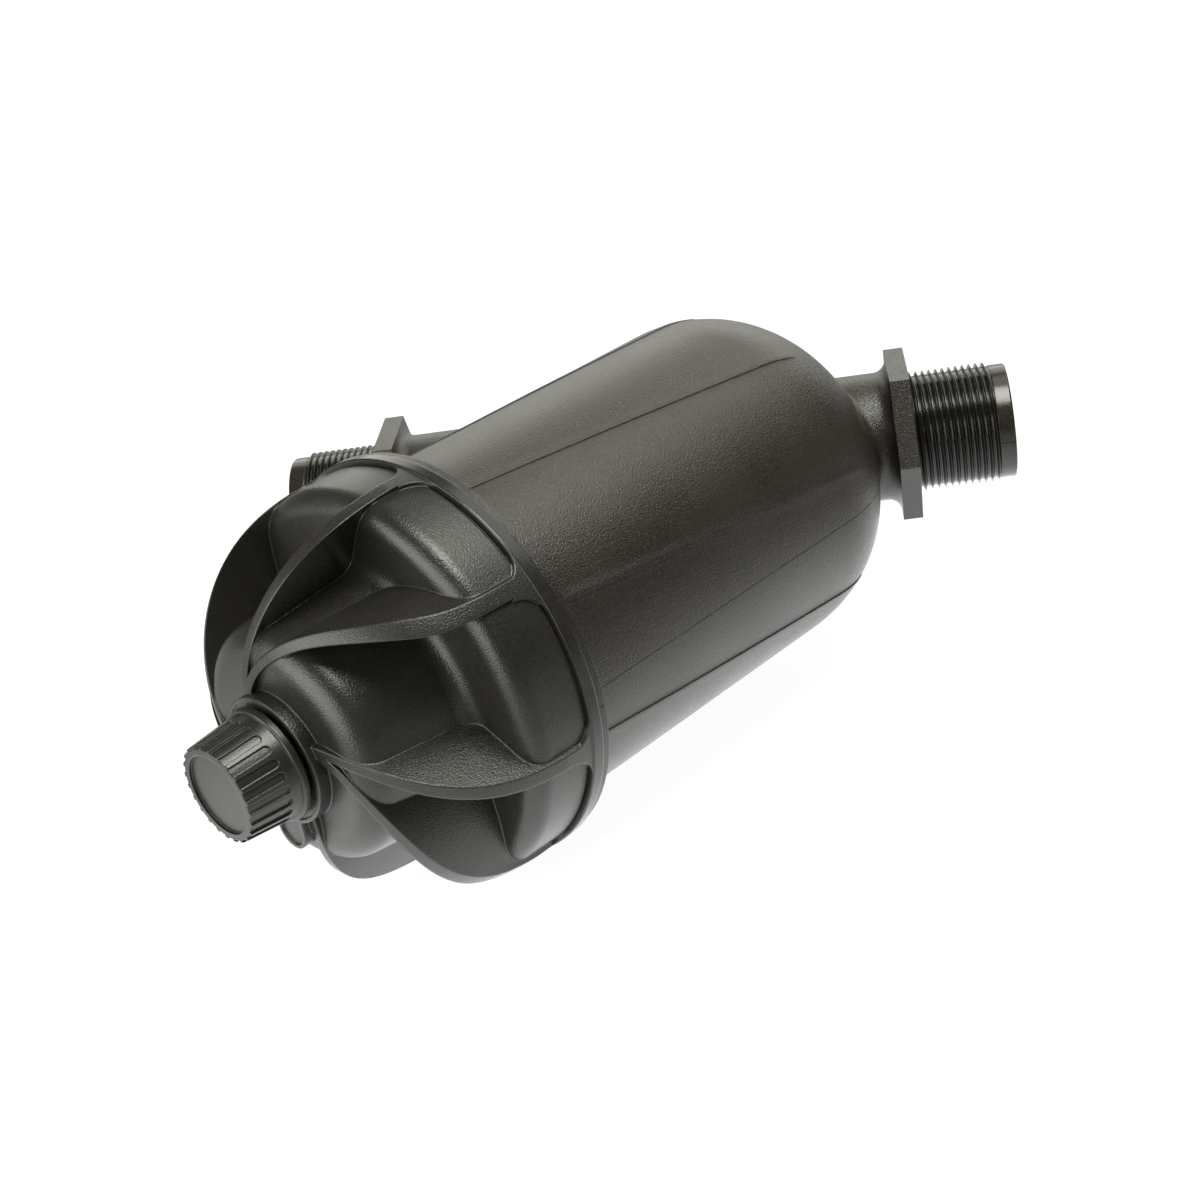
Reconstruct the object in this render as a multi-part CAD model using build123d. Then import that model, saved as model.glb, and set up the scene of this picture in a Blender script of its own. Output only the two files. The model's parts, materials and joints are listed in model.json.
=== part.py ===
from build123d import *
from math import cos, pi, radians, sin
import os

# Y filter for irrigation and stock water lines. All sizes are millimetres.
# A station is a distance along the tank axis, counted from the point where the
# pipe axis crosses it, and it grows toward the lid. The lid looks along -X.

# Tank and dome
tank_radius = 58.4
tank_wall = 4.0
dome_shoulder = 35.0
dome_length = 49.6
dome_power = 2.16

# Soft ribs along the tank. They slant, and stop short of the necks.
bead_count = 8
bead_angle = 21.2
bead_slant = 6.7
bead_start = 20.0
bead_width = 2.0
bead_height = 0.4
bead_fade = 2.0
bead_clearance = 0.5

# Pipe ports, with the core of a 1 1/4 inch pipe thread
pipe_angle = 49.06
inlet_reach_past_tank = 22.5
outlet_reach_past_tank = 96.0
thread_major_radius = 20.955
thread_depth = 1.479
thread_length = 28.1
port_wall = 3.0
port_neck_step = 3.0
port_blend = 4.0
port_collar_step = 0.25
port_collar_length = 5.4
port_end_round = 0.5
hex_step = 3.7
hex_thickness = 6.8
hex_flare = 4.5
neck_root_past_crossing = 16.0
neck_root_depth = 12.0
edge_round = 0.8

# Mouth of the tank
lid_rear = 161.3
collar_gap = 0.3
collar_thickness = 2.3
collar_overhang = 7.5
collar_back_slope = 0.25
mouth_thread_rise = 2.2
mouth_thread_length = 11.5
mouth_land_step = 1.0
mouth_reach = 20.0

# Lid: ring, bowl and nose
ring_overhang = 0.8
ring_length = 4.5
panel_step = 1.6
panel_taper = 0.6
shoulder_round = 6.5
valley_round = 6.0
nose_height = 37.4
nose_top_radius = 37.2
nose_flare = 4.5
nose_round = 9.0
lid_wall = 4.0
groove_width = 0.9
groove_depth = 0.9
lid_thread_clearance = 2.0
lid_thread_run_out = 0.5
lid_land_clearance = 0.5
lid_inside_round = 1.5

# Lid: bore that takes the screen's lid end
nose_land_wall = 2.6
nose_land_depth = 9.4
nose_land_length = 17.0
nose_cone_step = 6.6

# Lid: curved fins, in pairs that meet at the hub
fin_pairs = 4
fin_back = 9.1
fin_rise = 2.3
fin_foot_power = 3.56
fin_crown_power = 1.68
fin_tip_inset = 0.4
fin_half_width_ring = 2.4
fin_half_width_hub = 1.25
fin_corner_radius = 7.5
fin_foot_depth = 6.0
fin_run_out = 4.0
fin_run_in = 1.5
steep_fin_angles = (80.6, 81.4, 86.5, 115.3)
swept_fin_angles = (37.4, 34.8, 57.6, 115.3)

# Lid: hub flange, tab and flush stub
hub_overhang = 2.3
hub_height = 4.5
hub_rim = 1.2
hub_recess = 0.6
tab_angle = -91.5
tab_reach = 10.1
tab_half_width = 6.3
stub_radius = 12.3
stub_wall = 3.3
stub_length = 15.4

# Flush cap
cap_gap = 1.0
cap_thread_clearance = 1.2
cap_wall = 3.5
cap_taper = 1.6
cap_flange_step = 1.1
cap_flange_thickness = 2.4
cap_face_thickness = 2.9
cap_face_rim = 2.8
cap_face_recess = 0.9
cap_rim_round = 0.5
flute_count = 24
flute_width = 2.8
flute_depth = 0.65
flute_length = 13.5

# Seals
lid_gasket_thickness = 1.7
lid_gasket_inset = 0.4
lid_gasket_round = 0.4
cap_gasket_thickness = 1.7
cap_gasket_clearance = 0.3
seal_cord = 2.4
seal_clearance = 0.05
seal_side_clearance = 0.1

# Screen. Its inlet end is wider than its lid end.
screen_start = 9.0
screen_lid_gap = 4.0
screen_inlet_clearance = 0.4
screen_inlet_collar_length = 14.0
screen_lid_collar_length = 13.0
screen_lid_clearance = 0.7
collar_wall = 4.1
collar_lip = 1.6
collar_grip = 2.0
cage_thickness = 2.0
cage_window_rows = 8
cage_window_columns = 10
cage_rib_width = 3.0
mesh_thickness = 0.5
mesh_clearance = 0.05

# Seat tube in the dome, which takes the screen's inlet end
seat_step = 1.4
seat_wall = 3.6
seat_margin = 4.0

# Cutting solids reach this far past the faces that they cut
overrun = 1.0

# Tank and ports
tank_bore_radius = tank_radius - tank_wall
pipe_run = cos(radians(pipe_angle))
pipe_rise = sin(radians(pipe_angle))
pipe_direction = Vector(pipe_run, -pipe_rise, 0)
inlet_reach = tank_radius + inlet_reach_past_tank
outlet_reach = tank_radius / pipe_rise + outlet_reach_past_tank
thread_root_radius = thread_major_radius - thread_depth
port_bore_radius = thread_root_radius - port_wall
port_collar_radius = thread_root_radius + port_collar_step
port_neck_radius = thread_root_radius + port_neck_step
port_end_length = thread_length + port_collar_length
inlet_bore_start = -port_bore_radius / 2
outlet_bore_start = (tank_bore_radius - port_bore_radius * pipe_run) / pipe_rise

# Mouth and lid
collar_radius = tank_radius + collar_overhang
mouth_thread_radius = tank_radius + mouth_thread_rise
mouth_land_radius = mouth_thread_radius - mouth_land_step
mouth_rim = lid_rear + mouth_reach
lid_radius = collar_radius + ring_overhang
lid_floor = mouth_rim + lid_gasket_thickness
ring_front = lid_rear + ring_length
panel_radius = lid_radius - panel_step
valley_station = lid_floor + lid_wall
nose_top = valley_station + nose_height
nose_foot_radius = nose_top_radius + nose_flare
nose_land_radius = nose_top_radius - nose_land_wall
nose_land_end = nose_top - nose_land_depth
nose_land_start = nose_land_end - nose_land_length
nose_roof = nose_top - lid_wall

# Flush stub, cap and hub
stub_bore_radius = stub_radius - stub_wall
hub_front = nose_top + hub_height
stub_end = hub_front + stub_length
cap_rear = hub_front + cap_gap
cap_floor = stub_end + cap_gasket_thickness
cap_face = cap_floor + cap_face_thickness
cap_flange_front = cap_rear + cap_flange_thickness
cap_bore_radius = stub_radius + cap_thread_clearance
cap_root_radius = cap_bore_radius + cap_wall
cap_face_radius = cap_root_radius - cap_taper
cap_flange_radius = cap_root_radius + cap_flange_step
hub_radius = cap_flange_radius + hub_overhang
tab_tip_radius = hub_radius + tab_reach
fin_start = lid_rear - fin_back
fin_end = nose_top + fin_rise
fin_tip_radius = hub_radius - fin_tip_inset

# Screen and its seats
screen_end = nose_land_end - screen_lid_gap
screen_inlet_collar_end = screen_start + screen_inlet_collar_length
screen_lid_collar_end = screen_end - screen_lid_collar_length
seat_bore_radius = nose_land_radius + seat_step
seat_outer_radius = seat_bore_radius + seat_wall
seat_end = screen_inlet_collar_end + seat_margin
inlet_seal_radius = seat_bore_radius - seal_clearance
inlet_collar_radius = seat_bore_radius - screen_inlet_clearance
inlet_seal_station = (screen_start + screen_inlet_collar_end) / 2
lid_seal_radius = nose_land_radius - seal_clearance
lid_collar_radius = nose_land_radius - screen_lid_clearance
lid_seal_station = (screen_end + screen_lid_collar_end) / 2
cage_radius = nose_land_radius - collar_wall
cage_bore_radius = cage_radius - cage_thickness
cage_start = screen_start + collar_lip
cage_end = screen_end - collar_lip
mesh_radius = cage_bore_radius - mesh_clearance


def at(station, radius):
    return (-station, radius)


def turned(*curves):
    return revolve(make_face(Curve() + list(curves)), Axis.X, 360)


def turned_outline(points, rounds=0):
    """Solid turned from a closed outline. Corners are rounded by one radius or a list."""
    path = FilletPolyline(*[at(*p) for p in points], radius=rounds, close=True)
    return revolve(make_face(path), Axis.X, 360)


def tube(start, end, outer, inner=0):
    return turned_outline([(start, inner), (start, outer), (end, outer), (end, inner)])


def dome_points(radius, length):
    """Points of the superellipse that closes the tank, from its shoulder to the pole."""
    points = []
    steps = 10
    for i in range(steps):
        turn = i / steps * pi / 2
        run = length * sin(turn) ** (2 / dome_power)
        rise = radius * cos(turn) ** (2 / dome_power)
        points.append(at(dome_shoulder - run, rise))
    return points + [at(dome_shoulder - length, 0)]


def domed(radius, length, front_points):
    """Turned solid with the dome at one end. Its seam faces +Z, away from the ports."""
    points = dome_points(radius, length)
    dome = Spline(*points, tangents=[(1, 0), (0, -1)])
    sides = Polyline(points[-1], *[at(*p) for p in front_points], points[0])
    return Rot(90, 0, 0) * turned(dome, sides)


def tank_shell():
    collar_front = lid_rear - collar_gap
    collar_rear = collar_front - collar_thickness
    collar_back = collar_rear - collar_overhang * collar_back_slope
    thread_end = lid_rear + mouth_thread_length
    front = [
        (mouth_rim, 0),
        (mouth_rim, mouth_land_radius),
        (thread_end, mouth_land_radius),
        (thread_end, mouth_thread_radius),
        (collar_front, mouth_thread_radius),
        (collar_front, collar_radius),
        (collar_rear, collar_radius),
        (collar_back, tank_radius),
    ]
    return domed(tank_radius, dome_length, front)


def tank_cavity():
    front = [(mouth_rim + overrun, 0), (mouth_rim + overrun, tank_bore_radius)]
    return domed(tank_bore_radius, dome_length - tank_wall, front)


def seat_tube():
    """Tube inside the dome. The inlet opens into it and the screen plugs into its end."""
    pole = dome_shoulder - dome_length
    ring = tube(pole, seat_end, seat_outer_radius, seat_bore_radius)
    half_wall = tank_wall / 2
    front = [(seat_end + overrun, 0), (seat_end + overrun, tank_radius - half_wall)]
    return ring & domed(tank_radius - half_wall, dome_length - half_wall, front)


def port_plane(direction):
    return Plane(origin=(0, 0, 0), x_dir=(0, 0, 1), z_dir=direction)


def port_neck(reach, root, direction):
    """Plain neck of one port. Its root lies inside the tank."""
    length = reach - port_end_length - hex_thickness - root
    return port_plane(direction) * Pos(0, 0, root) * extrude(Circle(port_neck_radius), length)


def port_end(reach, direction):
    """Flared hexagon, thread core and plain lead-in collar of one port."""
    hex_start = reach - port_end_length - hex_thickness
    hexagon = RegularPolygon(port_neck_radius + hex_step, 6, major_radius=False, rotation=30)
    flare = Rectangle(port_neck_radius + hex_flare, hex_flare, align=Align.MIN)
    flare -= Pos(port_neck_radius + hex_flare, 0) * Circle(hex_flare)
    flare = revolve(Plane.XZ * Pos(0, hex_start - hex_flare) * flare, Axis.Z, 360)
    prism = Pos(0, 0, hex_start - hex_flare) * extrude(hexagon, hex_flare + hex_thickness)
    end = Pos(0, 0, hex_start) * extrude(hexagon, hex_thickness) + (flare & prism)
    core = Pos(0, 0, hex_start) * extrude(Circle(thread_root_radius), reach - hex_start)
    collar = Pos(0, 0, reach - port_collar_length) * extrude(Circle(port_collar_radius),
                                                             port_collar_length)
    collar = fillet(collar.edges().sort_by(Axis.Z)[-1], port_end_round)
    return port_plane(direction) * (end + core + collar)


def port_bore(start, reach, direction):
    length = reach + overrun - start
    return port_plane(direction) * Pos(0, 0, start) * extrude(Circle(port_bore_radius), length)


def beads():
    """Soft ribs from the shoulder of the dome to the collar, cut back around the necks."""
    radius = tank_radius + bead_height
    end = lid_rear - collar_gap - collar_thickness
    skin = domed(radius, dome_length - bead_fade, [(end, 0), (end, radius)])
    blend_reach = port_blend * (1 + pipe_run)
    keep_out = Circle(port_neck_radius + blend_reach + bead_clearance)
    for direction in (pipe_direction, -pipe_direction):
        skin -= port_plane(direction) * extrude(keep_out, outlet_reach)
    length = (end - bead_start) / cos(radians(bead_slant))
    slab = Rot(0, 0, -bead_slant) * Box(length, bead_width, radius)
    slab = Pos(-(bead_start + end) / 2, 0, radius) * slab
    first = 90 - bead_angle
    return [skin & (Rot(first - 360 / bead_count * i, 0, 0) * slab) for i in range(bead_count)]


def filter_body():
    shell = tank_shell()
    inlet = (inlet_reach, -neck_root_past_crossing, pipe_direction)
    outlet = (outlet_reach, tank_radius - neck_root_depth, -pipe_direction)
    for reach, root, direction in (inlet, outlet):
        neck = port_neck(reach, root, direction)
        joined = shell + neck
        shell = fillet(new_edges(shell, neck, combined=joined), port_blend)
    shell += beads()
    shell += port_end(inlet_reach, pipe_direction)
    shell += port_end(outlet_reach, -pipe_direction)
    shell -= tank_cavity()
    shell += seat_tube()
    shell -= port_bore(inlet_bore_start, inlet_reach, pipe_direction)
    shell -= port_bore(outlet_bore_start, outlet_reach, -pipe_direction)
    return shell


def crown():
    """Turned solid under the outer edges of the fins."""
    points = []
    steps = 12
    for i in range(1, steps + 1):
        turn = i / steps * pi / 2
        rise = cos(turn) ** (2 / fin_crown_power) if i < steps else 0
        run = sin(turn) ** (2 / fin_foot_power)
        points.append(at(fin_start + (fin_end - fin_start) * run,
                         fin_tip_radius + (lid_radius - fin_tip_radius) * rise))
    rear = -lid_rear
    sides = Polyline(points[0], (rear, points[0][1]), (rear, 0), (points[-1][0], 0), points[-1])
    return turned(Spline(*points), sides)


def fin_middle(angles, share):
    """Point of a fin's middle line, from the ring at share 0 to the hub at share 1."""
    rest = 1 - share
    weights = (rest ** 3, 3 * share * rest ** 2, 3 * share ** 2 * rest, share ** 3)
    angle = radians(sum(w * a for w, a in zip(weights, angles)))
    rise = cos(share * pi / 2) ** (2 / fin_crown_power) if share < 1 else 0
    radius = fin_tip_radius + (lid_radius - fin_tip_radius) * rise
    if share == 0:
        radius += fin_run_out
    if share == 1:
        radius -= fin_run_in
    return Vector(radius * cos(angle), radius * sin(angle))


def fin_strip(angles):
    """Plan of one fin, seen along the tank axis, as a face between two splines."""
    steps = 9
    shares = [0] + [i / steps for i in range(2, steps + 1)]
    middle = [fin_middle(angles, share) for share in shares]
    sides = ([], [])
    for i, (point, share) in enumerate(zip(middle, shares)):
        ahead = middle[min(i + 1, len(middle) - 1)] - middle[max(i - 1, 0)]
        across = Vector(-ahead.Y, ahead.X).normalized()
        half = fin_half_width_ring + (fin_half_width_hub - fin_half_width_ring) * share
        sides[0].append(point + across * half)
        sides[1].append(point - across * half)
    left = Spline(*sides[0])
    right = Spline(*sides[1])
    return make_face(Curve() + [left, right, Line(left @ 0, right @ 0), Line(left @ 1, right @ 1)])


def lid_plane(station):
    """Plane across the tank axis. Its x points to -Y and its y to +Z."""
    return Plane(origin=(-station, 0, 0), x_dir=(0, -1, 0), z_dir=(-1, 0, 0))


def fin_foot(angle):
    """Foot of one fin on the ring, with a rounded corner on each side."""
    reach = fin_corner_radius
    side = fin_half_width_ring + reach
    plan = Pos(0, reach / 2) * Rectangle(2 * side, reach)
    plan -= Pos(side, reach) * Circle(reach)
    plan -= Pos(-side, reach) * Circle(reach)
    turn = radians(angle)
    base = Plane(origin=(-ring_front, 0, 0), x_dir=(0, sin(turn), cos(turn)),
                 z_dir=(0, -cos(turn), sin(turn)))
    height = panel_step + 2 * fin_foot_depth
    return base.offset(panel_radius - fin_foot_depth) * extrude(plan, height)


def fins():
    solid = None
    for pair in range(fin_pairs):
        turn = pair * 360 / fin_pairs
        for angles in (steep_fin_angles, swept_fin_angles):
            turned_angles = tuple(a + turn for a in angles)
            start = ring_front - overrun
            strip = lid_plane(start) * extrude(fin_strip(turned_angles), hub_front - start)
            fin = strip + fin_foot(turned_angles[0])
            solid = fin if solid is None else solid + fin
    return solid & crown()


def bowl_outside():
    outline = [
        (lid_rear, 0),
        (lid_rear, panel_radius),
        (valley_station, panel_radius - panel_taper),
        (valley_station, nose_foot_radius),
        (nose_top, nose_top_radius),
        (nose_top, 0),
    ]
    return turned_outline(outline, [0, 0, shoulder_round, valley_round, nose_round, 0])


def lid_ring():
    outline = [(lid_rear, 0), (lid_rear, lid_radius), (ring_front, lid_radius), (ring_front, 0)]
    return turned_outline(outline, [0, edge_round, edge_round / 2, 0])


def panel_groove():
    """Narrow groove at the foot of the panels, beside the ring."""
    return tube(ring_front, ring_front + groove_width, lid_radius, panel_radius - groove_depth)


def lid_inside():
    thread_radius = mouth_thread_radius + lid_thread_clearance
    land_radius = mouth_land_radius + lid_land_clearance
    thread_end = lid_rear + mouth_thread_length + lid_thread_run_out
    outline = [
        (lid_rear - overrun, 0),
        (lid_rear - overrun, thread_radius),
        (thread_end, thread_radius),
        (thread_end, land_radius),
        (lid_floor, land_radius),
        (lid_floor, nose_foot_radius - lid_wall),
        (nose_land_start, nose_land_radius),
        (nose_land_end, nose_land_radius),
        (nose_roof, nose_land_radius - nose_cone_step),
        (nose_roof, 0),
    ]
    soft = lid_inside_round
    return turned_outline(outline, [0, 0, 0, 0, 0, soft, 0, 0, soft, 0])


def hub():
    """Round flange at the nose with one tab, both with a raised rim."""
    middle = tab_tip_radius - tab_half_width
    tab = Pos(middle, 0) * Circle(tab_half_width)
    tab += Pos(middle / 2, 0) * Rectangle(middle, 2 * tab_half_width)
    outline = Circle(hub_radius) + Rot(0, 0, tab_angle) * tab
    solid = lid_plane(nose_top - overrun) * extrude(outline, hub_height + overrun)
    inner = offset(outline, -hub_rim)
    return solid - lid_plane(hub_front - hub_recess) * extrude(inner, hub_recess + overrun)


def flush_stub():
    start = nose_top - lid_wall / 2
    outline = [(start, 0), (stub_end, 0), (stub_end, stub_radius), (start, stub_radius)]
    return turned_outline(outline, [0, 0, edge_round / 2, 0])


def lid():
    solid = bowl_outside() - panel_groove()
    solid += lid_ring()
    solid += fins()
    solid += hub()
    solid += flush_stub()
    solid -= lid_inside()
    solid -= tube(nose_roof - overrun, stub_end + overrun, stub_bore_radius)
    return solid


def lid_gasket():
    outer = mouth_land_radius - lid_gasket_inset
    inner = tank_bore_radius + lid_gasket_inset
    outline = [(mouth_rim, inner), (mouth_rim, outer), (lid_floor, outer), (lid_floor, inner)]
    return turned_outline(outline, lid_gasket_round)


def cap_skin(inset=0):
    """Tapered grip of the cap, as a solid turned about the tank axis."""
    outline = [(cap_flange_front, 0), (cap_flange_front, cap_root_radius - inset),
               (cap_face, cap_face_radius - inset), (cap_face, 0)]
    return turned_outline(outline, [0, 0, cap_rim_round, 0])


def flute(angle):
    """One flute of the grip, open at the cap's face and round at its inner end."""
    radius = flute_width / 2
    plan = Pos(flute_length / 2 + radius, 0) * Rectangle(flute_length, flute_width)
    plan += Pos(radius, 0) * Circle(radius)
    turn = radians(angle)
    base = Plane(origin=(flute_length - cap_face, 0, 0), x_dir=(-1, 0, 0),
                 z_dir=(0, -cos(turn), sin(turn)))
    return base.offset(cap_bore_radius - overrun) * extrude(plan, cap_flange_radius)


def flush_cap():
    grip = cap_skin()
    for i in range(flute_count):
        grip -= flute(i * 360 / flute_count)
    solid = grip + cap_skin(flute_depth)
    flange = [(cap_rear, 0), (cap_rear, cap_flange_radius),
              (cap_flange_front, cap_flange_radius), (cap_flange_front, 0)]
    solid += turned_outline(flange, [0, edge_round / 2, edge_round, 0])
    solid -= tube(cap_rear - overrun, cap_floor, cap_bore_radius)
    solid -= tube(cap_face - cap_face_recess, cap_face + overrun, cap_face_radius - cap_face_rim)
    return solid


def flush_cap_gasket():
    return tube(stub_end, cap_floor, cap_bore_radius - cap_gasket_clearance, stub_bore_radius)


def seal_ring(station, outer_radius):
    middle = outer_radius - seal_cord / 2
    profile = Pos(*at(station, middle)) * Circle(seal_cord / 2)
    return revolve(profile, Axis.X, 360)


def end_collar(closed_end, open_end, radius, seal_station, seal_radius):
    """Moulded end ring of the screen. The cage stands in its socket, behind a lip."""
    toward = 1 if open_end > closed_end else -1
    lip_end = closed_end + toward * collar_lip
    socket = cage_radius + mesh_clearance
    lip_radius = cage_bore_radius - collar_grip
    outline = [(closed_end, lip_radius), (closed_end, radius), (open_end, radius),
               (open_end, socket), (lip_end, socket), (lip_end, lip_radius)]
    half = seal_cord / 2 + seal_side_clearance
    groove_floor = seal_radius - seal_cord - seal_clearance
    groove = tube(seal_station - half, seal_station + half, seal_radius + overrun, groove_floor)
    return turned_outline(outline) - groove


def screen_inlet_collar():
    return end_collar(screen_start, screen_inlet_collar_end, inlet_collar_radius,
                      inlet_seal_station, inlet_seal_radius)


def screen_lid_collar():
    return end_collar(screen_end, screen_lid_collar_end, lid_collar_radius,
                      lid_seal_station, lid_seal_radius)


def screen_cage():
    """Ribbed tube that carries the mesh against the pressure inside it."""
    solid = tube(cage_start, cage_end, cage_radius, cage_bore_radius)
    first = screen_inlet_collar_end + cage_rib_width
    row = (screen_lid_collar_end - first) / cage_window_rows
    gap = row - cage_rib_width
    pitch = 360 / cage_window_columns
    width = 2 * cage_radius * sin(radians(pitch / 2)) - cage_rib_width
    depth = cage_radius + overrun
    for r in range(cage_window_rows):
        window = Pos(-(first + gap / 2 + r * row), 0, depth / 2) * Box(gap, width, depth)
        solid -= [Rot(pitch * (c + 0.5), 0, 0) * window for c in range(cage_window_columns)]
    return solid


def screen_mesh():
    return tube(cage_start, cage_end, mesh_radius, mesh_radius - mesh_thickness)


def screen_inlet_seal():
    return seal_ring(inlet_seal_station, inlet_seal_radius)


def screen_lid_seal():
    return seal_ring(lid_seal_station, lid_seal_radius)


nodes = {
    "filter_body": filter_body,
    "lid": lid,
    "lid_gasket": lid_gasket,
    "flush_cap": flush_cap,
    "flush_cap_gasket": flush_cap_gasket,
    "screen_cage": screen_cage,
    "screen_mesh": screen_mesh,
    "screen_inlet_collar": screen_inlet_collar,
    "screen_lid_collar": screen_lid_collar,
    "screen_inlet_seal": screen_inlet_seal,
    "screen_lid_seal": screen_lid_seal,
}

# The origin of the finished part is the middle of the inlet port's end face.
inlet_face = pipe_direction * inlet_reach

os.makedirs("parts", exist_ok=True)
for name, make in nodes.items():
    placed = Pos(-inlet_face.X, -inlet_face.Y, 0) * make()
    export_step(placed, os.path.join("parts", name + ".step"))
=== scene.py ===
import json
import math

import bpy
from mathutils import Matrix, Vector


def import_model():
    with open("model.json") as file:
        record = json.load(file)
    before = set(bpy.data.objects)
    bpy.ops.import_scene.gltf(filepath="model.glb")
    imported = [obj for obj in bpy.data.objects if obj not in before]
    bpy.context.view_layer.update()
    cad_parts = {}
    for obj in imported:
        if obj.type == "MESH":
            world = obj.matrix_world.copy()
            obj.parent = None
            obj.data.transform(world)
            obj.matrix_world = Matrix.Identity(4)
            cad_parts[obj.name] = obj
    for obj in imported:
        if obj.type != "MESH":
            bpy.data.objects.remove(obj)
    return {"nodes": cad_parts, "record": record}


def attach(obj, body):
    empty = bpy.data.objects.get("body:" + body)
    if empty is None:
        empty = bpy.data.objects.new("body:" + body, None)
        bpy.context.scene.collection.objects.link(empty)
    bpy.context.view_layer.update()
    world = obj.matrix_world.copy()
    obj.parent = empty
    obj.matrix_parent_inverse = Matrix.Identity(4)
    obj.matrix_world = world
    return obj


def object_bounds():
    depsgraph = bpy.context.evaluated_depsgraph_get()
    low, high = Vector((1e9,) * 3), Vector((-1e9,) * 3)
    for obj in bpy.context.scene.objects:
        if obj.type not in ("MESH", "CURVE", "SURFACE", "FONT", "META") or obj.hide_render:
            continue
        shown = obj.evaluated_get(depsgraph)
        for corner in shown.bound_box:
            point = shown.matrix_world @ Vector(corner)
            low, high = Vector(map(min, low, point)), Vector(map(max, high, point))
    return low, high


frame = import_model()
cad_box = [list(c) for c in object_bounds()]

# Places and sizes in metres, in the row frame
PIPE_ANGLE = math.radians(49.06)
PIPE = Vector((math.cos(PIPE_ANGLE), -math.sin(PIPE_ANGLE), 0))
INLET_REACH = 0.0809
CROSSING = -PIPE * INLET_REACH
TANK_AXIS = Vector((-1, 0, 0))
TANK_Y = CROSSING.y
INLET_END = Vector((0, 0, 0))
OUTLET_END = next(Vector(m["pos_m"]) for m in frame["record"]["mounts"] if m["name"] == "outlet_bore")
FLOOR_GAP = 0.0002
FLOOR_Z = cad_box[0][2] - FLOOR_GAP


def station(s):
    """X of a distance along the tank axis, counted from the pipe axis toward the lid."""
    return CROSSING.x - s


# Limits of the shading zones, each a pair between which the zone fades
PORT_OFF = (0.0209, 0.0211)  # from the pipe axis, at the thread's crests
PORT_REACH = (0.0460, 0.0468)  # along the pipe from its middle, just before the inlet's thread
RING_OFF = (0.0661, 0.0665)  # from the tank axis
RING_BACK = (station(0.1662), station(0.1656))
SKIN_OFF = (0.0592, 0.0598)  # from the tank axis, between the tank's skin and its collar
SKIN_FRONT = (station(0.1555), station(0.1545))
NECK_OFF = (0.032, 0.036)  # from the pipe axis
PARTING_HALF_WIDTH = 0.00018
PARTING_WANDER = 0.00035

# Noise scales, per metre
SLOW, COARSE, FINE, GLINT_SCALE = 28.0, 520.0, 1900.0, 2100.0
SPREAD = (0.3, 0.7)  # the middle of a noise, which is stretched to the full range

# Plastic: colours are linear, depths and rounds are in metres
# Painted glints: pale specks in the base colour, in place of the glints that the sand-blasted grain catches
PAINTED_GLINT_COLOUR = (0.060, 0.057, 0.052, 1)
PAINTED_GLINT_LIMITS = (0.58, 0.74)
PAINTED_GLINT_SHARE = 0.33
# Painted highlight: edges, and the steep walls of the tank's ribs, are painted towards this lighter colour
PAINTED_HIGHLIGHT_COLOUR = (0.062, 0.059, 0.053, 1)
GRAIN_DEPTH = 0.00013
PARTING_DEPTH = 0.00016
BEAD_ROUND = 0.0040
EDGE_TURN = (0.90, 0.995)  # cosine between rounded and flat normal, at an edge and away from it
WALL_TURN = (0.2, 0.8)  # the same for the steep walls of the tank's ribs, which get a painted highlight
EDGE_SHARE = 0.75
EDGE_GRAIN = 0.05
EDGE_ROUGHNESS = 0.23
PLASTIC_IOR = 1.52


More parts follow.
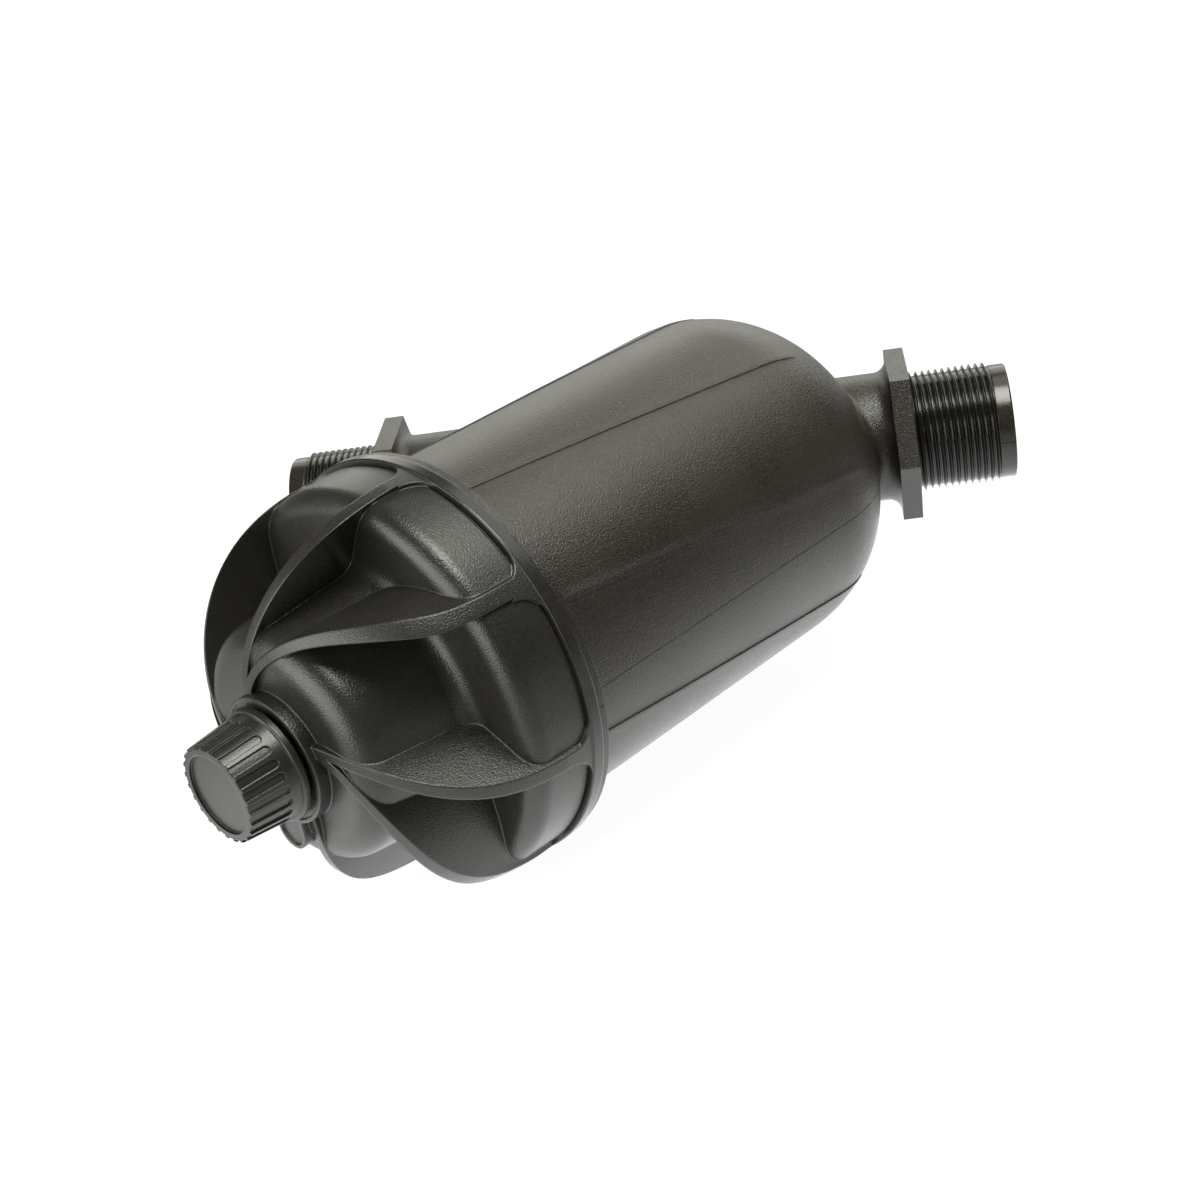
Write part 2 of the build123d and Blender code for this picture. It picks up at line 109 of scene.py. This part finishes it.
class Nodes:
    """A material with its node tree, and short calls that add nodes to it."""

    def __init__(self, name):
        self.material = bpy.data.materials.new(name)
        self.material.use_nodes = True
        self.tree = self.material.node_tree
        self.tree.nodes.clear()

    def add(self, kind, **values):
        node = self.tree.nodes.new(kind)
        for key, value in values.items():
            setattr(node, key, value)
        return node

    def link(self, a, b):
        self.tree.links.new(a, b)

    def feed(self, socket, value):
        if isinstance(value, (int, float)):
            socket.default_value = value
        elif isinstance(value, (tuple, list, Vector)):
            socket.default_value = tuple(value)
        else:
            self.link(value, socket)

    def principled(self):
        """Shader that makes the material's surface."""
        shader = self.add("ShaderNodeBsdfPrincipled")
        self.link(shader.outputs[0], self.add("ShaderNodeOutputMaterial").inputs[0])
        return shader

    def place(self):
        return self.add("ShaderNodeTexCoord").outputs["Object"]

    def split(self, place):
        parts = self.add("ShaderNodeSeparateXYZ")
        self.link(place, parts.inputs[0])
        return parts.outputs

    def math(self, operation, a, b=0.0):
        node = self.add("ShaderNodeMath", operation=operation)
        self.feed(node.inputs[0], a)
        self.feed(node.inputs[1], b)
        return node.outputs[0]

    def blend(self, share, a, b):
        """Sum of share of a and the rest of b."""
        return self.math("ADD", self.math("MULTIPLY", a, share), self.math("MULTIPLY", b, 1 - share))

    def vector(self, operation, a, b=None):
        node = self.add("ShaderNodeVectorMath", operation=operation)
        self.feed(node.inputs[0], a)
        if b is not None:
            self.feed(node.inputs[1], b)
        return node.outputs["Value"] if operation in ("DOT_PRODUCT", "LENGTH") else node.outputs["Vector"]

    def ramp(self, value, low, high, out_low=0.0, out_high=1.0):
        node = self.add("ShaderNodeMapRange", interpolation_type="SMOOTHSTEP")
        self.feed(node.inputs["Value"], value)
        for key, number in (("From Min", low), ("From Max", high), ("To Min", out_low), ("To Max", out_high)):
            node.inputs[key].default_value = number
        return node.outputs["Result"]

    def noise(self, place, scale, detail=2.0, roughness=0.5):
        node = self.add("ShaderNodeTexNoise", noise_dimensions="3D")
        self.feed(node.inputs["Vector"], place)
        node.inputs["Scale"].default_value = scale
        node.inputs["Detail"].default_value = detail
        node.inputs["Roughness"].default_value = roughness
        return node.outputs["Fac"]

    def mix_colour(self, share, a, b):
        node = self.add("ShaderNodeMix", data_type="RGBA")
        self.feed(node.inputs[0], share)
        self.feed(node.inputs[6], a)
        self.feed(node.inputs[7], b)
        return node.outputs[2]

    def bump(self, height, strength, distance, normal=None):
        node = self.add("ShaderNodeBump")
        self.feed(node.inputs["Strength"], strength)
        node.inputs["Distance"].default_value = distance
        self.link(height, node.inputs["Height"])
        if normal is not None:
            self.link(normal, node.inputs["Normal"])
        return node.outputs["Normal"]


def from_tank_axis(n, place):
    off = n.vector("SUBTRACT", place, (0, TANK_Y, 0))
    return n.vector("LENGTH", n.vector("MULTIPLY", off, (0, 1, 1)))


def from_pipe(n, place):
    """Distance from the pipe axis, and distance along it from the middle of the pipe."""
    away = n.vector("SUBTRACT", place, tuple(CROSSING))
    along = n.vector("DOT_PRODUCT", away, tuple(PIPE))
    scaled = n.add("ShaderNodeVectorMath", operation="SCALE")
    scaled.inputs[0].default_value = tuple(PIPE)
    n.link(along, scaled.inputs["Scale"])
    off = n.vector("LENGTH", n.vector("SUBTRACT", away, scaled.outputs["Vector"]))
    return off, n.math("ABSOLUTE", along)


def port_zone(n, place):
    """1 on the threads, the lead-in collars and the bores of the two ports."""
    off, reach = from_pipe(n, place)
    return n.math("MULTIPLY", n.ramp(off, *PORT_OFF, 1.0, 0.0), n.ramp(reach, *PORT_REACH))


def ring_zone(n, place):
    """1 on the outer band of the lid's ring."""
    return n.math("MULTIPLY", n.ramp(from_tank_axis(n, place), *RING_OFF),
                  n.ramp(n.split(place)["X"], *RING_BACK))


def bead_zone(n, place):
    """1 on the tank's skin between the collar and the pipe's necks."""
    skin = n.math("MULTIPLY", n.ramp(n.split(place)["X"], *SKIN_FRONT),
                  n.ramp(from_tank_axis(n, place), *SKIN_OFF, 1.0, 0.0))
    return n.math("MULTIPLY", skin, n.ramp(from_pipe(n, place)[0], *NECK_OFF))


def parting_step(n, place, slow):
    """Step from 1 to 0 where the two mould halves meet."""
    wander = n.math("MULTIPLY", n.math("SUBTRACT", slow, 0.5), PARTING_WANDER)
    return n.ramp(n.math("ADD", n.split(place)["Z"], wander), -PARTING_HALF_WIDTH, PARTING_HALF_WIDTH, 1.0, 0.0)


def plastic(name, dark=(0.0125, 0.0118, 0.0103), light=(0.0200, 0.0190, 0.0168), grain=1.0,
            rough=(0.27, 0.37), edge=0.0004, edge_highlight=0.6, parting=False, glossy=None, soft=None):
    """Moulded dark plastic: sand-blasted grain with painted glints, slow colour and gloss changes, rounded
    edges with a painted highlight.

    glossy is a zone without grain and soft is a zone with larger rounds, whose steep walls get a painted
    highlight.
    """
    n = Nodes(name)
    shader = n.principled()
    place = n.place()
    slow = n.noise(place, SLOW, 3.0)
    coarse = n.noise(place, COARSE)
    fine = n.noise(place, FINE, 1.5, 0.6)
    glint_noise = n.noise(place, GLINT_SCALE, 1.0)
    colour = n.mix_colour(n.ramp(n.blend(0.6, slow, coarse), *SPREAD), (*dark, 1), (*light, 1))
    # Painted glints: pale specks mixed into the base colour
    painted_glint = n.math("MULTIPLY", n.ramp(glint_noise, *PAINTED_GLINT_LIMITS), PAINTED_GLINT_SHARE * grain)
    colour = n.mix_colour(painted_glint, colour, PAINTED_GLINT_COLOUR)

    bevel = n.add("ShaderNodeBevel", samples=8)
    bevel.inputs["Radius"].default_value = edge
    normal = bevel.outputs["Normal"]
    turned = n.vector("DOT_PRODUCT", normal, n.add("ShaderNodeNewGeometry").outputs["Normal"])
    plain = n.ramp(turned, *EDGE_TURN, EDGE_SHARE, 0.0)
    # Painted highlight along the edges, and in the soft zone on the steep rib walls where the shading would
    # leave dark lines
    painted_highlight = n.math("MULTIPLY", plain, edge_highlight)
    if soft is not None:
        share = soft(n, place)
        n.link(n.math("ADD", n.math("MULTIPLY", share, BEAD_ROUND), edge), bevel.inputs["Radius"])
        plain = n.math("MULTIPLY", plain, n.math("SUBTRACT", 1.0, share))
        wall_highlight = n.math("MULTIPLY", share, n.ramp(turned, *WALL_TURN, 1.0, 0.0))
        painted_highlight = n.math("ADD", n.math("MULTIPLY", plain, edge_highlight), wall_highlight)
    # The painted highlight is mixed into the base colour
    colour = n.mix_colour(painted_highlight, colour, PAINTED_HIGHLIGHT_COLOUR)
    if glossy is not None:
        plain = n.math("MAXIMUM", plain, glossy(n, place))

    gloss = n.add("ShaderNodeMix", data_type="FLOAT")
    n.link(plain, gloss.inputs[0])
    n.link(n.ramp(n.blend(0.6, slow, fine), *SPREAD, *rough), gloss.inputs[2])
    gloss.inputs[3].default_value = EDGE_ROUGHNESS
    if parting:
        normal = n.bump(parting_step(n, place, slow), 1.0, PARTING_DEPTH, normal)
    normal = n.bump(n.blend(0.95, fine, coarse), n.ramp(plain, 0.0, 1.0, 1.0, EDGE_GRAIN),
                    GRAIN_DEPTH * grain, normal)
    n.link(normal, shader.inputs["Normal"])
    n.link(colour, shader.inputs["Base Color"])
    n.link(gloss.outputs[0], shader.inputs["Roughness"])
    shader.inputs["IOR"].default_value = PLASTIC_IOR
    return n.material


def rubber(name):
    """Matt black seal with a faint, uneven skin."""
    n = Nodes(name)
    shader = n.principled()
    place = n.place()
    mottle = n.noise(place, 260.0, 3.0)
    n.link(n.mix_colour(n.ramp(mottle, *SPREAD), (0.010, 0.010, 0.010, 1), (0.022, 0.022, 0.022, 1)),
           shader.inputs["Base Color"])
    n.link(n.ramp(mottle, *SPREAD, 0.55, 0.72), shader.inputs["Roughness"])
    n.link(n.bump(n.noise(place, 900.0), 0.4, 0.0001), shader.inputs["Normal"])
    return n.material


def woven_steel(name, waves_round=220.0, waves_per_metre=7800.0):
    """Fine wire cloth round the tank axis: crossed waves in the angle and along the axis."""
    n = Nodes(name)
    shader = n.principled()
    parts = n.split(n.vector("SUBTRACT", n.place(), (0, TANK_Y, 0)))
    angle = n.math("ARCTAN2", parts["Z"], parts["Y"])
    wires_round = n.math("ABSOLUTE", n.math("SINE", n.math("MULTIPLY", angle, waves_round)))
    wires_along = n.math("ABSOLUTE", n.math("SINE", n.math("MULTIPLY", parts["X"], waves_per_metre)))
    height = n.math("MAXIMUM", wires_round, wires_along)
    wire = n.ramp(height, 0.45, 0.7)
    n.link(n.mix_colour(wire, (0.05, 0.05, 0.05, 1), (0.56, 0.56, 0.54, 1)), shader.inputs["Base Color"])
    n.link(wire, shader.inputs["Metallic"])
    n.link(n.ramp(height, 0.4, 1.0, 0.6, 0.3), shader.inputs["Roughness"])
    n.link(n.bump(height, 0.8, 0.0001), shader.inputs["Normal"])
    return n.material


BODY = plastic("moulded_body", dark=(0.0132, 0.0107, 0.0075), light=(0.0215, 0.0178, 0.0130), grain=1.7,
               parting=True, glossy=port_zone, soft=bead_zone)
LID = plastic("moulded_lid", edge=0.0008, glossy=ring_zone)
CAP = plastic("moulded_cap", grain=0.4, rough=(0.28, 0.38))
THREAD = plastic("moulded_thread", dark=(0.0070, 0.0066, 0.0058), light=(0.0105, 0.0100, 0.0088),
                 grain=0.05, rough=(0.12, 0.17), edge=0.0001)
INNER = plastic("moulded_screen", grain=0.3, rough=(0.32, 0.42), edge=0.0002)
RUBBER = rubber("seal_rubber")
STEEL = woven_steel("woven_steel")

FINISH = {
    "filter_body": BODY, "lid": LID, "flush_cap": CAP, "lid_gasket": RUBBER, "flush_cap_gasket": RUBBER,
    "screen_cage": INNER, "screen_mesh": STEEL, "screen_inlet_collar": INNER, "screen_lid_collar": INNER,
    "screen_inlet_seal": RUBBER, "screen_lid_seal": RUBBER,
}
for name, material in FINISH.items():
    mesh = frame["nodes"][name].data
    mesh.materials.clear()
    mesh.materials.append(material)


def placed(name, data):
    """New object of the scene."""
    made = bpy.data.objects.new(name, data)
    bpy.context.scene.collection.objects.link(made)
    return made


def meshed(name, points, faces, material):
    mesh = bpy.data.meshes.new(name)
    mesh.from_pydata(points, [], faces)
    mesh.materials.append(material)
    return mesh


def piece(name, points, faces, material, body):
    """Smooth mesh that rides a body."""
    mesh = meshed(name, [tuple(p) for p in points], faces, material)
    mesh.update()
    for face in mesh.polygons:
        face.use_smooth = True
    made = placed(name, mesh)
    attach(made, body)


def axis_frame(origin, axis):
    """Matrix whose z is the axis and whose x is as near to the frame's Z as it can be."""
    side = Vector((0, 0, 1))
    z = axis.normalized()
    x = (side - z * side.dot(z)).normalized()
    y = z.cross(x)
    made = Matrix((x, y, z)).transposed().to_4x4()
    made.translation = origin
    return made


def swept(name, loops, material, body):
    """Closed solid through a row of closed loops of points."""
    m = len(loops[0])
    points = [p for loop in loops for p in loop]
    faces = [(i * m + j, (i + 1) * m + j, (i + 1) * m + (j + 1) % m, i * m + (j + 1) % m)
             for i in range(len(loops) - 1) for j in range(m)]
    faces += [tuple(range(m)), tuple(range(len(points) - 1, len(points) - m - 1, -1))]
    piece(name, points, faces, material, body)


# Screw threads. Half a profile: share of the pitch from the crest's middle, and height.
HALF_PROFILE = ((0.5, 0.0), (0.40, 0.002), (0.31, 0.015), (0.27, 0.07), (0.18, 0.43), (0.09, 0.80),
                (0.045, 0.95), (0.0, 1.0))
PROFILE = [(-share, height) for share, height in HALF_PROFILE]
PROFILE += [(share, height) for share, height in reversed(HALF_PROFILE[:-1])]
LEAD_IN_TURNS, RUN_OUT_TURNS = 0.4, 0.25
ROOT_LIFT, ROOT_SUNK = 0.00003, 0.0003  # above and below the plastic that carries the thread
SEAM_WIDTH, SEAM_LOSS = 0.06, 0.16  # angle in radians, and height lost, where mould halves meet
HALF_SHIFT, HALF_BLEND = 0.00009, 0.03  # how far the two mould halves are apart along the thread


def helical_thread(name, place, root, crest, pitch, length, body, segments=96, halves=False):
    """Right-hand thread with a narrow crest and a wide root, from z = 0 to z = length, one pitch wide."""
    turns = length / pitch - 1
    loops = []
    for i in range(int(round(turns * segments)) + 1):
        turn = i / segments
        angle = 2 * math.pi * turn
        height = max(min(turn / LEAD_IN_TURNS, (turns - turn) / RUN_OUT_TURNS, 1.0), 0.0)
        shift = 0.0
        if halves:
            half = math.sin(angle)
            height *= 1 - SEAM_LOSS * math.exp(-(math.asin(min(1, abs(half))) / SEAM_WIDTH) ** 2)
            shift = HALF_SHIFT * math.tanh(half / HALF_BLEND)
        loop = [(root + ROOT_LIFT + (crest - root) * form * height, share) for share, form in PROFILE]
        loop += [(root - ROOT_SUNK, 0.5), (root - ROOT_SUNK, -0.5)]
        middle = pitch * (0.5 + turn) + shift
        loops.append([place @ Vector((r * math.cos(angle), r * math.sin(angle), middle + pitch * share))
                      for r, share in loop])
    swept(name, loops, THREAD, body)


# Pipe thread, 1 1/4 inch parallel
PORT_ROOT, PORT_CREST, PORT_PITCH = 0.019476, 0.020955, 0.002309
PORT_COLLAR, PORT_LENGTH, PORT_RUN_OUT = 0.0054, 0.0281, 0.001
for name, end, axis in (("inlet_thread", INLET_END, PIPE), ("outlet_thread", OUTLET_END, -PIPE)):
    start = end - axis * (PORT_COLLAR + PORT_LENGTH + PORT_PITCH)
    helical_thread(name, axis_frame(start, axis), PORT_ROOT, PORT_CREST, PORT_PITCH,
                   PORT_LENGTH + PORT_PITCH + PORT_RUN_OUT, "tank", halves=True)
helical_thread("mouth_thread", axis_frame(Vector((station(0.1611), TANK_Y, 0)), TANK_AXIS),
               root=0.0606, crest=0.0616, pitch=0.004, length=0.0115, body="tank",
               segments=144)
helical_thread("stub_thread", axis_frame(Vector((station(0.2312), TANK_Y, 0)), TANK_AXIS),
               root=0.0123, crest=0.0132, pitch=0.001814, length=0.0125, body="lid",
               segments=72)

# Studio floor
FLOOR_SIZE, FLOOR_STEPS = 4.0, 8
FLOOR_MIDDLE = (-0.12, 0.06)
FLOOR_COLOURS = (0.66, 0.66, 0.66, 1), (0.70, 0.70, 0.695, 1)
CARD_MIDDLE, CARD_HALF_LENGTH = (-0.17, TANK_Y, 0), 0.12
WHITE_RANGE, WHITE_GLOW = (0.30, 0.90), (1.22, 1.31)  # for the camera: distance, glow there
CARD_RANGE, CARD_GLOW = (0.08, 0.20), (2.0, 0.58)  # for reflections: distance, glow there
GLOW_SHARE = 0.78


def floor():
    """White floor that keeps the shadow, with a brighter strip under the tank in reflections."""
    n = Nodes("pale_floor")
    diffuse = n.add("ShaderNodeBsdfDiffuse")
    place = n.place()
    n.link(n.mix_colour(n.noise(place, 6.0), *FLOOR_COLOURS), diffuse.inputs["Color"])
    glow = n.add("ShaderNodeEmission")
    glow.inputs["Color"].default_value = (1, 1, 1, 1)
    path = n.add("ShaderNodeLightPath")
    parts = n.split(n.vector("SUBTRACT", place, CARD_MIDDLE))
    past_end = n.math("MAXIMUM", n.math("SUBTRACT", n.math("ABSOLUTE", parts["X"]), CARD_HALF_LENGTH), 0.0)
    away = n.math("SQRT", n.math("ADD", n.math("POWER", past_end, 2.0), n.math("POWER", parts["Y"], 2.0)))
    white = n.ramp(away, *WHITE_RANGE, *WHITE_GLOW)
    card = n.math("SUBTRACT", n.ramp(away, *CARD_RANGE, *CARD_GLOW), white)
    n.link(n.math("ADD", white, n.math("MULTIPLY", path.outputs["Is Glossy Ray"], card)),
           glow.inputs["Strength"])
    seen = n.math("MAXIMUM", path.outputs["Is Camera Ray"], path.outputs["Is Glossy Ray"])
    mix = n.add("ShaderNodeMixShader")
    n.link(n.math("MULTIPLY", seen, GLOW_SHARE), mix.inputs[0])
    n.link(diffuse.outputs[0], mix.inputs[1])
    n.link(glow.outputs[0], mix.inputs[2])
    n.link(mix.outputs[0], n.add("ShaderNodeOutputMaterial").inputs[0])

    row = FLOOR_STEPS + 1
    corner_x, corner_y = (middle - FLOOR_SIZE / 2 for middle in FLOOR_MIDDLE)
    points = [(corner_x + x * FLOOR_SIZE / FLOOR_STEPS, corner_y + y * FLOOR_SIZE / FLOOR_STEPS, FLOOR_Z)
              for y in range(row) for x in range(row)]
    faces = [(y * row + x, y * row + x + 1, (y + 1) * row + x + 1, (y + 1) * row + x)
             for y in range(FLOOR_STEPS) for x in range(FLOOR_STEPS)]
    made = placed("studio_floor", meshed("studio_floor", points, faces, n.material))


def background(tree, colour, strength):
    node = tree.nodes.new("ShaderNodeBackground")
    node.inputs["Color"].default_value = colour
    node.inputs["Strength"].default_value = strength
    return node.outputs[0]


def world():
    """White for the camera, a faint warm fill for everything else."""
    made = bpy.data.worlds.new("studio")
    bpy.context.scene.world = made
    made.use_nodes = True
    tree = made.node_tree
    tree.nodes.clear()
    path = tree.nodes.new("ShaderNodeLightPath")
    mix = tree.nodes.new("ShaderNodeMixShader")
    tree.links.new(path.outputs["Is Camera Ray"], mix.inputs[0])
    tree.links.new(background(tree, (1.0, 0.995, 0.90, 1), 0.11), mix.inputs[1])
    tree.links.new(background(tree, (1, 1, 1, 1), 1.0), mix.inputs[2])
    tree.links.new(mix.outputs[0], tree.nodes.new("ShaderNodeOutputWorld").inputs[0])


LAMP_COLOUR = (1.0, 0.995, 0.91)
LAMP_TARGET = Vector((-0.15, 0.06, 0.0))


def softbox(name, place, size, power):
    """Rectangular lamp that faces the object."""
    data = bpy.data.lights.new(name, "AREA")
    data.shape = "RECTANGLE"
    data.size, data.size_y = size
    data.energy = power
    data.color = LAMP_COLOUR
    lamp = placed(name, data)
    lamp.location = place
    lamp.rotation_mode = "QUATERNION"
    lamp.rotation_quaternion = (LAMP_TARGET - Vector(place)).to_track_quat("-Z", "Y")


# The photo's camera, in degrees, millimetres and metres
AZIMUTH, ELEVATION, ROLL = -41.22, 27.03, -10.635
LENS, SENSOR = 58.95, 36.0
LOOKED_AT, DISTANCE = Vector((-0.12546, 0.08745, -0.03132)), 0.6852


def camera():
    azimuth, elevation, roll = (math.radians(v) for v in (AZIMUTH, ELEVATION, ROLL))
    back = Vector((math.sin(azimuth) * math.cos(elevation), -math.cos(azimuth) * math.cos(elevation),
                   math.sin(elevation)))
    right = Vector((math.cos(azimuth), math.sin(azimuth), 0))
    up = back.cross(right)
    x = right * math.cos(roll) + up * math.sin(roll)
    y = up * math.cos(roll) - right * math.sin(roll)
    data = bpy.data.cameras.new("photo_camera")
    data.lens, data.sensor_width = LENS, SENSOR
    data.clip_start, data.clip_end = 0.01, 50.0
    made = placed("photo_camera", data)
    matrix = Matrix((x, y, back)).transposed().to_4x4()
    matrix.translation = LOOKED_AT + back * DISTANCE
    made.matrix_world = matrix
    bpy.context.scene.camera = made


floor()
world()
softbox("top_softbox", (-0.13, -0.20, 0.92), (0.50, 0.44), 9.2)
softbox("key_softbox", (0.45, -0.10, 0.80), (0.8, 0.7), 3.1)
softbox("back_softbox", (0.72, 0.66, 0.42), (1.5, 0.7), 5.9)
softbox("left_softbox", (-1.05, 0.20, 0.20), (1.1, 0.8), 12.0)
camera()
bpy.context.scene.view_settings.view_transform = "Standard"
